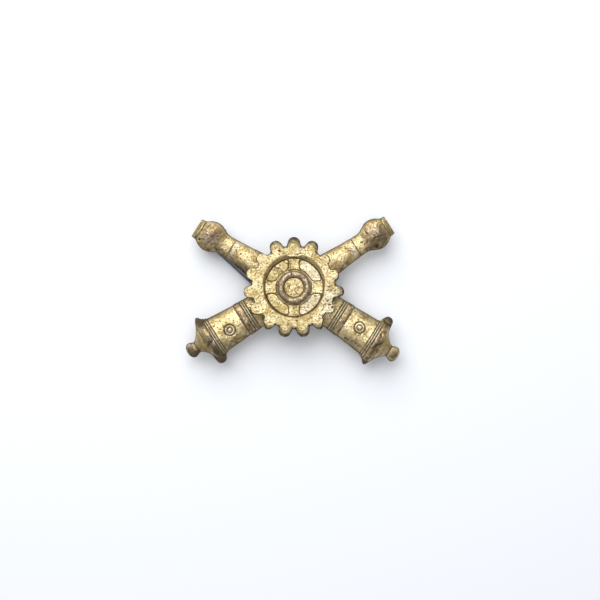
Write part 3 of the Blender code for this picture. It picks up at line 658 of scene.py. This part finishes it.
for out, fall in rings_out:
    x, y = out * np.cos(bearings), out * np.sin(bearings)
    relief, window = wheel_relief(x, y)
    uneven = 0.024 * lumps(x, y, 23, 2.4) + 0.009 * lumps(x, y, 29, 0.8)
    if fall is None:
        height = relief + uneven
    else:
        height = WHEEL_FACE - fall + uneven * (1 - fall / tooth_height)
    for place, size, depth in WHEEL_DENTS:
        height = height - depth * spot(x, y, place, size) * (fall is None or fall < 0.3)
    wheel_points.append(np.stack([x, y, height], -1))
    wheel_worn.append(0.5 * np.clip(lumps(x, y, 31, 1.6) - 0.9, 0, 1) * (fall is None))
    dirt_and_shade = np.zeros_like(x)
    if fall is not None:  # painted shade darkens each wall towards its foot, and the top teeth carry a painted dark reflection
        down = np.clip((fall / tooth_height - 0.12 * free) / (0.1 + 0.32 * free), 0, 1)
        dirt_and_shade = down * np.clip(0.78 + 0.16 * lumps(x, y, 37, 0.9), 0, 1)
        dirt_and_shade = np.maximum(dirt_and_shade, 0.5 * np.clip((y - 7.4) / 1.4, 0, 1) * (1 + 0.3 * lumps(x, y, 61, 0.8)))
    flecked = spot(x, y, (7.2, -2.9), 1.5, 1.9, 1.2) + 0.6 * spot(x, y, (1.0, 6.5), 0.6, 1.6)
    dirt_and_shade = dirt_and_shade + 0.9 * np.clip(2 * flecked * np.clip(lumps(x, y, 59, 0.36) - 0.6, 0, 1), 0, 1)
    dirt_and_shade = dirt_and_shade + 0.75 * spot(x, y, (-3.1, 3.5), 1.3) * np.clip(0.6 + 0.6 * lumps(x, y, 67, 0.6), 0, 1)
    wheel_soiled_and_shaded.append(np.clip(dirt_and_shade, 0, 1))
    silvered = 1.3 * spot(x, y, (7.2, -3.0), 1.7, 2.0, 1.1) + 0.5 * spot(x, y, (0.8, 7.0), 1.0)
    silvered = silvered * (0.5 + 0.6 * lumps(x, y, 53, 0.5))
    wheel_pale.append(np.clip(0.45 * window * (x > 0) + silvered, 0, 1))
wheel_net = np.array(wheel_points)
wheel_quads = quads_between(len(wheel_net), len(bearings), closed=True)
bore = np.arange(len(bearings))
last = (len(wheel_net) - 1) * len(bearings)
wheel_place = Matrix.Translation((centre_x, centre_y, back_z))
wheel_quads = np.concatenate([wheel_quads, wall_between(bore, bore + last)])
cogwheel = metal_piece("struck_cogwheel", wheel_net.reshape(-1, 3), wheel_quads, wheel_place)
weather(cogwheel, np.array(wheel_worn), np.array(wheel_soiled_and_shaded), np.array(wheel_pale), depths=(0.009, 0.2))
wheel_gilding = old_gilding(
    "wheel_gilding", (0.75, 0.63, 0.365), (0.46, 0.35, 0.135), roughness=0.47, speckled=0.555)
cogwheel.data.materials.append(wheel_gilding)
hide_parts("cogwheel")
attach(cogwheel, "badge")

# ------------------------------
# The hub rivet. Turned from tombak with a thick round rim and a sunk middle, put through
# the wheel and both cannons from the face, and hammered over on the back plate.
# How far out and how far up in mm, from the middle of the face round to the clinched tail.
HUB_PROFILE = (
    (0.0, 3.62), (0.5, 3.62), (1.0, 3.61), (1.5, 3.6), (1.78, 3.58), (1.9, 3.56), (1.98, 3.62),
    (2.05, 3.75), (2.11, 3.92), (2.21, 4.06), (2.36, 4.16), (2.54, 4.205), (2.73, 4.19),
    (2.91, 4.11), (3.07, 3.97), (3.18, 3.78), (3.25, 3.56), (3.27, 3.36), (3.23, 3.25), (2.4, 3.24),
    (1.2, 3.24), (1.2, 2.0), (1.2, 0.9), (1.2, 0.0), (1.2, -0.72), (1.8, -0.8), (1.89, -0.92),
    (1.78, -1.1), (1.4, -1.24), (0.8, -1.3), (0.0, -1.3),
)
FACE_PLACES = 18  # places of the profile that belong to the face
profile_out, profile_up = (np.array(v) for v in zip(*HUB_PROFILE))
length_along = np.concatenate([[0], np.cumsum(np.hypot(np.diff(profile_out), np.diff(profile_up)))])
face_part = np.arange(0.03, length_along[FACE_PLACES], 0.05)
rest_part = length_along[FACE_PLACES + 1:]
sample = np.concatenate([face_part, rest_part])
rivet_bearings = np.linspace(0, 2 * math.pi, 240, endpoint=False)
out = np.interp(sample, length_along, profile_out)[:, None] * np.ones_like(rivet_bearings)
out = np.maximum(out, 0.02)
up = np.interp(sample, length_along, profile_up)[:, None] * np.ones_like(rivet_bearings)
x, y = out * np.cos(rivet_bearings), out * np.sin(rivet_bearings)
face_rows = (np.arange(len(sample)) < len(face_part))[:, None]
up = up + face_rows * (0.022 * lumps(x, y, 41, 1.1) + 0.01 * lumps(x, y, 43, 0.5) * (out < 1.9))
up = up - face_rows * 0.1 * spot(x, y, (-0.45, 2.7), 0.1, 3.0, math.pi / 2)
up = up - face_rows * (0.12 * spot(x, y, (1.9, 1.7), 0.35) + 0.1 * spot(x, y, (2.2, -2.0), 0.3))
rivet_worn = np.where(face_rows & (out > 2.2) & (up > 3.9), 0.95 + 0.2 * lumps(x, y, 47, 1.0), 0)
# grime and painted shade in the creases at the ring's outer and inner feet, and patchy grime on the ring
rivet_soiled_and_shaded = 0.8 * ridge(out, 3.24, 0.12, 2) + 0.75 * ridge(out, 2.0, 0.12, 2)
rivet_soiled_and_shaded += 0.45 * face_rows * (out > 2.2) * np.clip(lumps(x, y, 71, 1.3), 0, 1)
rivet_net = np.stack([x, y, up], -1)
hub_rivet = metal_piece(
    "turned_hub_rivet", rivet_net.reshape(-1, 3),
    quads_between(len(sample), len(rivet_bearings), closed=True), wheel_place,
    (range(len(rivet_bearings)), range(rivet_net.size // 3 - len(rivet_bearings), rivet_net.size // 3)))
# painted highlights along the ring's crest, where the rub is taken away
crest = ridge(out, 2.55, 0.3, 2)
rivet_highlight = face_rows * np.clip(1.2 * lumps(x, y, 73, 0.9) - 0.2, 0, 0.75) * crest
rivet_worn = np.clip(rivet_worn - 1.1 * rivet_highlight, 0, 1)
weather(hub_rivet, rivet_worn, rivet_soiled_and_shaded, rivet_highlight, passes=(6, 40), depths=(0.01, 0.08))
rivet_tombak = old_gilding(
    "rivet_tombak", (0.64, 0.52, 0.28), (0.44, 0.33, 0.13), roughness=0.45,
    bare=(0.27, 0.19, 0.125), worn=(0.48, 0.39, 0.30))
hub_rivet.data.materials.append(rivet_tombak)
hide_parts("hub_rivet")
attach(hub_rivet, "badge")

# ------------------------------
# The back plate and the hinge plate. Discs sawn from plain brass sheet, filed at the
# edge and soft soldered over the open backs of the barrels. The brass is left bare, so
# it has gone brown, with grey solder smeared at its edge.
old_brass = old_gilding("old_brass", (0.46, 0.35, 0.155), (0.25, 0.17, 0.07), roughness=0.48, speckled=0.62)
DISC_EASE = 0.12


def box_middle(node):
    """The middle of a node in metres, and its sides in mm."""
    low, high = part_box(node)
    return (low + high) / 2, (high - low) / MM


def sawn_disc(name, node, bore, seed):
    """A disc of brass sheet that fills the place of its node, with its edges eased."""
    middle, size = box_middle(node)
    radius, thick = min(size.x, size.y) / 2, size.z / 2
    eased = np.radians(np.arange(0, 91, 15))
    profile = [(bore, thick), (radius * 0.5, thick)]
    for a in eased:
        profile.append((radius - DISC_EASE * (1 - math.sin(a)), thick - DISC_EASE * (1 - math.cos(a))))
    for a in eased:
        profile.append((radius - DISC_EASE * (1 - math.cos(a)), DISC_EASE * (1 - math.sin(a)) - thick))
    inward = np.arange(radius - 0.3, bore, -0.14)
    profile += [(out, -thick) for out in inward] + [(bore, -thick)]
    out, up = (np.array(v)[:, None] for v in zip(*profile))
    turn = np.linspace(0, 2 * math.pi, 180, endpoint=False)
    x, y = out * np.cos(turn), out * np.sin(turn)
    filed = 1 + 0.006 * lumps(np.cos(turn), np.sin(turn), seed, 0.7)
    sag = np.where(up < 0, 0.02 * lumps(x, y, seed + 1, 2.2), 0.0) * (out < radius - 0.2)
    net = np.stack([x * filed, y * filed, up + sag], -1)
    rows = len(profile)
    last = (rows - 1) * len(turn)
    rim = np.arange(len(turn))
    quads = quads_between(rows, len(turn), closed=True)
    quads = np.concatenate([quads, wall_between(rim, rim + last)])
    disc = metal_piece(name, net.reshape(-1, 3), quads, Matrix.Translation(middle))
    smeared = np.clip((out / radius - 0.8) / 0.15, 0, 1) * np.clip(0.4 + lumps(x, y, seed + 2, 2.0), 0, 1)
    weather(disc, 0.5 * np.clip(lumps(x, y, seed + 3, 2.5), 0, 1), pale=smeared)
    disc.data.materials.append(old_brass)
    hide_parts(node)
    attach(disc, "badge")


sawn_disc("sawn_back_plate", "back_plate", 1.22, 61)
sawn_disc("sawn_hinge_plate", "hinge_plate", 0.02, 67)

# ------------------------------
# The solder. Small beads of soft solder, a dull grey mix of tin and lead, that ran out
# and froze where the plates meet the rims of the barrels.
BEAD_RINGS, BEAD_SIDES = 15, 28


def solder_bead(middle, size, seed):
    """One frozen drop, wider than it is tall, in mm about the badge's middle."""
    rises = np.radians(np.linspace(-88, 88, BEAD_RINGS))
    turns = np.linspace(0, 2 * math.pi, BEAD_SIDES, endpoint=False)
    up, turn = np.meshgrid(rises, turns, indexing="ij")
    x, y, z = np.cos(up) * np.cos(turn), np.cos(up) * np.sin(turn), np.sin(up)
    swell = 1 + 0.1 * lumps(x * 2 + z, y * 2, seed, 2.2)
    return np.stack([x * swell * size[0], y * swell * size[1], z * size[2]], -1).reshape(-1, 3) + middle


BREECH_RIM, MUZZLE_RIM = 3.05, 2.35  # from a barrel's middle line to its rims
HINGE_BEADS_OUT = 2.5
PLATE_BEAD_DEPTH, HINGE_BEAD_DEPTH = -0.3, -0.5


def rim_beads():
    """Where a bead lies: on both rims of each barrel at the back plate, and round the hinge plate."""
    plate_radius = box_middle("back_plate")[1].x / 2
    places = []
    for bearing, half in ((-BARREL_ANGLE, BREECH_RIM), (math.pi + BARREL_ANGLE, BREECH_RIM),
                          (math.pi - BARREL_ANGLE, MUZZLE_RIM), (BARREL_ANGLE, MUZZLE_RIM)):
        ahead = np.array((math.cos(bearing), math.sin(bearing)))
        aside = np.array((-ahead[1], ahead[0]))
        for side in (-1, 1):
            reach = math.sqrt(plate_radius**2 - half**2)
            places.append((*(ahead * reach + aside * half * side), PLATE_BEAD_DEPTH))
    hinge_middle = box_middle("hinge_plate")[0]
    for bearing in (0.4, 1.5, 2.7, 4.0, 5.1):
        places.append(((hinge_middle.x - centre_x) / MM + HINGE_BEADS_OUT * math.cos(bearing),
                       (hinge_middle.y - centre_y) / MM + HINGE_BEADS_OUT * math.sin(bearing),
                       HINGE_BEAD_DEPTH))
    return places


bead_points, bead_quads, bead_caps, so_far = [], [], [], 0
for number, middle in enumerate(rim_beads()):
    draw = np.random.default_rng(100 + number)
    size = (draw.uniform(0.3, 0.5), draw.uniform(0.28, 0.42), draw.uniform(0.22, 0.3))
    bead = solder_bead(np.array(middle), size, 200 + number)
    bead_points.append(bead)
    bead_quads.append(quads_between(BEAD_RINGS, BEAD_SIDES, so_far, closed=True))
    bead_end = so_far + len(bead)
    bead_caps += [range(so_far, so_far + BEAD_SIDES), range(bead_end - BEAD_SIDES, bead_end)]
    so_far = bead_end
solder = metal_piece(
    "solder_beads", np.concatenate(bead_points), np.concatenate(bead_quads), wheel_place, bead_caps)
dull_solder = old_gilding("dull_solder", (0.34, 0.34, 0.35), (0.2, 0.2, 0.2), roughness=0.5)
weather(solder)
solder.data.materials.append(dull_solder)
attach(solder, "badge")

# ------------------------------
# The brooch pin. Hard steel wire with one end forged into an eye and drilled for the
# hinge rivet, and the other ground to a point. It is blued almost black, and the blue
# has gone to brown specks of rust.
joints = {joint["name"]: joint for joint in frame["joints"]}
pin_axis = Vector(joints["pin_hinge"]["axis"])
hinge_point = Vector(joints["pin_hinge"]["pos_m"])
catch_point = Vector(joints["roller_turn"]["pos_m"])
along_pin = Matrix.Rotation(math.atan2(-pin_axis.x, pin_axis.y), 4, "Z")
hinge_place = Matrix.Translation(hinge_point) @ along_pin
catch_place = Matrix.Translation(catch_point) @ along_pin
PIN_ROUND, PIN_POINT, EYE_ROUND, EYE_BORE, EYE_HALF = 0.6, 0.1, 1.0, 0.44, 0.65
PIN_TO_TIP = (catch_point - hinge_point).length / MM + 2.4
GROUND_POINT = 6.5  # length that is ground to the point


def round_piece(profile, count, axis):
    """Points of a profile, of places along the axis and radii, turned about the axis."""
    place, radius = (np.array(v)[:, None] for v in zip(*profile))
    turn = np.linspace(0, 2 * math.pi, count, endpoint=False)
    one, other = radius * np.cos(turn), radius * np.sin(turn)
    place = place * np.ones_like(turn)
    order = {"X": (place, one, other), "Y": (other, place, one), "Z": (one, other, place)}[axis]
    return np.stack(order, -1)


def turned_piece(name, profile, count, axis, place, closed=False):
    """A piece turned from a profile, with flat ends, or a ring if its profile is closed."""
    net = round_piece(profile, count, axis)
    if closed:
        net = np.concatenate([net, net[:1]])
        quads = quads_between(len(net), count, closed=True) % ((len(net) - 1) * count)
        return metal_piece(name, net[:-1].reshape(-1, 3), quads, place)
    ends = (range(count), range((len(net) - 1) * count, len(net) * count))
    return metal_piece(name, net.reshape(-1, 3), quads_between(len(net), count, closed=True), place, ends)


shaft = [(0.62, 0.34), (0.64, 0.44), (0.8, 0.53), (0.95, 0.58)]
shaft += [(u, PIN_ROUND) for u in np.arange(1.1, PIN_TO_TIP - GROUND_POINT, 0.5)]
for s in np.linspace(0, 0.985, 24):
    shaft.append((PIN_TO_TIP - GROUND_POINT * (1 - s), PIN_ROUND - (PIN_ROUND - PIN_POINT) * s**1.2))
shaft += [(PIN_TO_TIP - 0.04, 0.06), (PIN_TO_TIP, 0.015)]
brooch_pin = turned_piece("forged_brooch_pin", shaft, 40, "X", hinge_place)
half_eye = [(EYE_HALF - 0.04, EYE_BORE), (EYE_HALF, EYE_BORE + 0.04), (EYE_HALF, EYE_ROUND - 0.12),
            (EYE_HALF - 0.04, EYE_ROUND - 0.04), (EYE_HALF - 0.12, EYE_ROUND)]
eye_profile = half_eye + [(-u, r) for u, r in reversed(half_eye)]
eye = turned_piece("pin_eye", eye_profile, 56, "Y", hinge_place, closed=True)


def settled(piece):
    """Keeps the shape that the work has left, with its sharp edges sharp."""
    shape = bpy.data.meshes.new_from_object(piece.evaluated_get(bpy.context.evaluated_depsgraph_get()))
    piece.modifiers.clear()
    piece.data = shape
    shape.polygons.foreach_set("use_smooth", [True] * len(shape.polygons))
    shape.set_sharp_from_angle(angle=math.radians(40))
    return piece


def worked(piece, other, kind):
    """Joins another shape to a piece with UNION, or cuts it away with DIFFERENCE."""
    step = piece.modifiers.new("work", "BOOLEAN")
    step.operation, step.solver, step.object = kind, "EXACT", other
    settled(piece)
    bpy.data.objects.remove(other)
    return piece


worked(brooch_pin, eye, "UNION")


def blued_steel(name, rust=0.5):
    """Blue-black steel, scratched along its length, with brown specks of rust."""
    finish = bpy.data.materials.new(name)
    finish.use_nodes = True
    nodes, wires = finish.node_tree.nodes, finish.node_tree.links
    shader = nodes["Principled BSDF"]
    shader.inputs["Metallic"].default_value = 0.9
    tones = cloud(finish, 2600, 5, 0.5)
    colours = nodes.new("ShaderNodeValToRGB")
    ramp = colours.color_ramp
    ramp.elements[0].position, ramp.elements[0].color = 0.36, (0.10, 0.105, 0.12, 1)
    ramp.elements[1].position, ramp.elements[1].color = 0.52, (0.18, 0.185, 0.20, 1)
    rusty = ramp.elements.new(0.52 + 0.2 * (1 - rust))
    rusty.color = (0.10, 0.055, 0.03, 1)
    wires.new(tones, colours.inputs["Fac"])
    wires.new(colours.outputs["Color"], shader.inputs["Base Color"])
    dull = nodes.new("ShaderNodeMapRange")
    dull.inputs["To Min"].default_value, dull.inputs["To Max"].default_value = 0.25, 0.6
    wires.new(tones, dull.inputs["Value"])
    wires.new(dull.outputs["Result"], shader.inputs["Roughness"])
    grained(finish, cloud(finish, 5200, 3, 0.5, drawn=0.12), 0.00003)
    return finish


blued_pin = blued_steel("blued_pin_steel")
brooch_pin.data.materials.append(blued_pin)
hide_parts("brooch_pin")
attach(brooch_pin, "pin")

# ------------------------------
# The hinge rivet. Soft steel wire put through the bracket's ears and the pin's eye, with
# a domed head hammered up at each side.
RIVET_ROUND, HEAD_ROUND, HEAD_FROM, HEAD_RISE = 0.38, 0.66, 1.2, 0.35
head = [(HEAD_FROM, HEAD_ROUND * 0.94)]
for a in np.radians(range(0, 91, 10)):
    head.append((HEAD_FROM + HEAD_RISE * math.sin(a), max(HEAD_ROUND * math.cos(a), 0.02)))
profile = [(-u, r) for u, r in reversed(head)] + [(-HEAD_FROM, RIVET_ROUND), (HEAD_FROM, RIVET_ROUND)] + head
hinge_rivet = turned_piece("headed_hinge_rivet", profile, 32, "Y", hinge_place)
hinge_rivet.data.materials.append(blued_steel("hinge_rivet_steel", rust=0.8))
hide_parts("hinge_rivet")
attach(hinge_rivet, "badge")

# ------------------------------
# The hinge bracket. A strip of brass folded up into two round ears, drilled through for
# the hinge rivet, and soldered by its base to the hinge plate.
BRACKET_TOP, BRACKET_SHEET, BASE_CORNER = 1.646, 0.35, 0.2
EAR_IN_BASE = 0.17
BASE_LONG_HALF, BASE_WIDE_HALF = 1.35, 1.2
EAR_ROUND, EAR_INSIDE, EAR_OUTSIDE = 1.05, 0.75, 1.1
UPRIGHT = Matrix.Rotation(math.pi / 2, 4, "X")


def round_run(radius, start, end, count):
    """Points round an arc from one bearing to another, in degrees."""
    return [(radius * math.cos(a), radius * math.sin(a)) for a in np.radians(np.linspace(start, end, count))]


def filed_slab(name, outline, low, high, place, ease=0.05):
    """A flat piece sawn to its outline, from low to high through the sheet, with filed edges."""
    count = len(outline)
    points = np.array([(u, v, w) for w in (low, high) for u, v in outline])
    slab = metal_piece(
        name, points, quads_between(2, count, closed=True), place, (range(count), range(count, 2 * count)))
    filing = slab.modifiers.new("filing", "BEVEL")
    filing.width, filing.segments, filing.limit_method = ease * MM, 3, "ANGLE"
    return settled(slab)


corner_at = (BASE_LONG_HALF - BASE_CORNER, BASE_WIDE_HALF - BASE_CORNER)
base_corner = [(corner_at[0] + u, corner_at[1] + v) for u, v in round_run(BASE_CORNER, 0, 90, 8)]
base_outline = base_corner + [(-u, v) for u, v in reversed(base_corner)]
base_outline += [(-u, -v) for u, v in reversed(base_outline)][::-1]
bracket = filed_slab(
    "folded_hinge_bracket", base_outline, BRACKET_TOP - BRACKET_SHEET, BRACKET_TOP, hinge_place)
ear_foot = BRACKET_TOP - EAR_IN_BASE
ear_outline = [(EAR_ROUND, ear_foot), (-EAR_ROUND, ear_foot)] + round_run(EAR_ROUND, 180, 360, 36)
for side in (-1, 1):
    near, far = sorted((-side * EAR_INSIDE, -side * EAR_OUTSIDE))
    worked(bracket, filed_slab("ear", ear_outline, near, far, hinge_place @ UPRIGHT), "UNION")
drill = turned_piece("drill", [(-2.0, EYE_BORE), (2.0, EYE_BORE)], 48, "Y", hinge_place)
worked(bracket, drill, "DIFFERENCE")
bracket.data.materials.append(old_brass)
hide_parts("hinge_bracket")
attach(bracket, "badge")

# ------------------------------
# The catch. A slice of thick brass tube with a mouth cut in it, standing on a foot that
# is soldered to the back plate. The pin drops in through the mouth.
CATCH_ROUND, CATCH_BORE, CATCH_HALF = 1.446, 1.016, 0.7
MOUTH_HALF = 38  # degrees
FOOT_HALF, FOOT_TOP = 1.2, 1.546
FACING_ALONG = Matrix.Rotation(math.pi / 2, 4, "Z") @ UPRIGHT
foot_bearing = math.degrees(math.acos(FOOT_HALF / CATCH_ROUND))
catch_outline = round_run(CATCH_ROUND, MOUTH_HALF - 90, foot_bearing, 30)
catch_outline += [(FOOT_HALF, FOOT_TOP), (-FOOT_HALF, FOOT_TOP)]
catch_outline += round_run(CATCH_ROUND, 180 - foot_bearing, 270 - MOUTH_HALF, 30)
catch_outline += round_run(CATCH_BORE, 270 - MOUTH_HALF, MOUTH_HALF - 90, 56)
catch = filed_slab(
    "sawn_catch", catch_outline, -CATCH_HALF, CATCH_HALF, catch_place @ FACING_ALONG, 0.04)
catch.data.materials.append(old_brass)
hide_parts("catch_body")
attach(catch, "badge")

# ------------------------------
# The roller. Turned from brass rod with a flange at each end, slotted along its length
# for the pin, and given a thumb tab. Turned in the catch, it shuts the pin in.
ROLLER_BORE, ROLLER_ROUND, FLANGE_ROUND, ROLLER_HALF, ROLLER_NECK = 0.456, 0.956, 1.196, 1.2, 0.8
TAB_REACH, TAB_HALF, TAB_BEARING = 1.746, 0.25, 50
flange = [(ROLLER_HALF, ROLLER_BORE + 0.04), (ROLLER_HALF, FLANGE_ROUND - 0.06),
          (ROLLER_HALF - 0.06, FLANGE_ROUND), (ROLLER_NECK + 0.06, FLANGE_ROUND),
          (ROLLER_NECK, FLANGE_ROUND - 0.06), (ROLLER_NECK, ROLLER_ROUND)]
roller_profile = [(ROLLER_HALF - 0.04, ROLLER_BORE)] + flange
roller_profile += [(-u, r) for u, r in reversed(roller_profile)]
roller = turned_piece("turned_catch_roller", roller_profile, 72, "X", catch_place, closed=True)
tab_outline = [(-TAB_HALF, -0.9), (-TAB_HALF, TAB_HALF - TAB_REACH)]
tab_outline += [(u, v + TAB_HALF - TAB_REACH) for u, v in round_run(TAB_HALF, 200, 340, 12)]
tab_outline += [(TAB_HALF, TAB_HALF - TAB_REACH), (TAB_HALF, -0.9)]
tab_place = catch_place @ Matrix.Rotation(math.radians(TAB_BEARING), 4, "X") @ FACING_ALONG
tab = filed_slab("tab", tab_outline, ROLLER_NECK + 0.01, ROLLER_HALF - 0.01, tab_place, 0.03)
worked(roller, tab, "UNION")
slot_outline = [(-ROLLER_BORE, 0), (-ROLLER_BORE, -2), (ROLLER_BORE, -2), (ROLLER_BORE, 0)]
saw = filed_slab("slot", slot_outline, -2, 2, catch_place @ FACING_ALONG, 0.0001)
worked(roller, saw, "DIFFERENCE")
roller.data.materials.append(old_brass)
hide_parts("catch_roller")
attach(roller, "roller")

# ------------------------------
# The table, the light and the camera. The badge lies on a sheet of white card. It is lit
# by a window behind it, a warm card in front and the ceiling, and seen from overhead.
TABLE_HALF = 1.5
table_mesh = bpy.data.meshes.new("table")
corners = [(x * TABLE_HALF, y * TABLE_HALF, 0) for x, y in ((-1, -1), (1, -1), (1, 1), (-1, 1))]
table_mesh.from_pydata(corners, [], [(0, 1, 2, 3)])
table = bpy.data.objects.new("table", table_mesh)
bpy.context.scene.collection.objects.link(table)
paper = bpy.data.materials.new("white_card")
paper.use_nodes = True
paper.node_tree.nodes["Principled BSDF"].inputs["Base Color"].default_value = (0.82, 0.84, 0.88, 1)
paper.node_tree.nodes["Principled BSDF"].inputs["Roughness"].default_value = 0.85
table_mesh.materials.append(paper)

sky = bpy.data.worlds.new("room")
sky.use_nodes = True
sky.node_tree.nodes["Background"].inputs["Color"].default_value = (0.86, 0.91, 1.0, 1)
sky.node_tree.nodes["Background"].inputs["Strength"].default_value = 0.36
bpy.context.scene.world = sky


def lamp(name, place, size, power, colour):
    """A round soft light, turned to the badge."""
    light = bpy.data.lights.new(name, "AREA")
    light.shape = "DISK"
    light.size = size
    light.energy = power
    light.color = colour
    held = bpy.data.objects.new(name, light)
    held.location = place
    held.rotation_euler = (-Vector(place)).to_track_quat("-Z", "Y").to_euler()
    bpy.context.scene.collection.objects.link(held)


lamp("window", (-0.08, 0.24, 0.32), 0.46, 1.8, (1.0, 0.99, 0.97))
lamp("card", (0.1, -0.35, 0.34), 0.9, 0.2, (1.0, 0.9, 0.76))
lamp("ceiling", (0.03, 0.03, 0.5), 0.75, 1.0, (1.0, 0.995, 0.98))

VIEW_X, VIEW_Y, VIEW_HIGH = 0.00118, -0.00176, 0.30
LENS = 91.8
shot = bpy.data.cameras.new("overhead")
shot.sensor_width = 36
shot.lens = LENS
overhead = bpy.data.objects.new("overhead", shot)
overhead.location = (VIEW_X, VIEW_Y, VIEW_HIGH + wheel_low.z)
bpy.context.scene.collection.objects.link(overhead)
bpy.context.scene.camera = overhead
bpy.context.scene.view_settings.view_transform = "Standard"
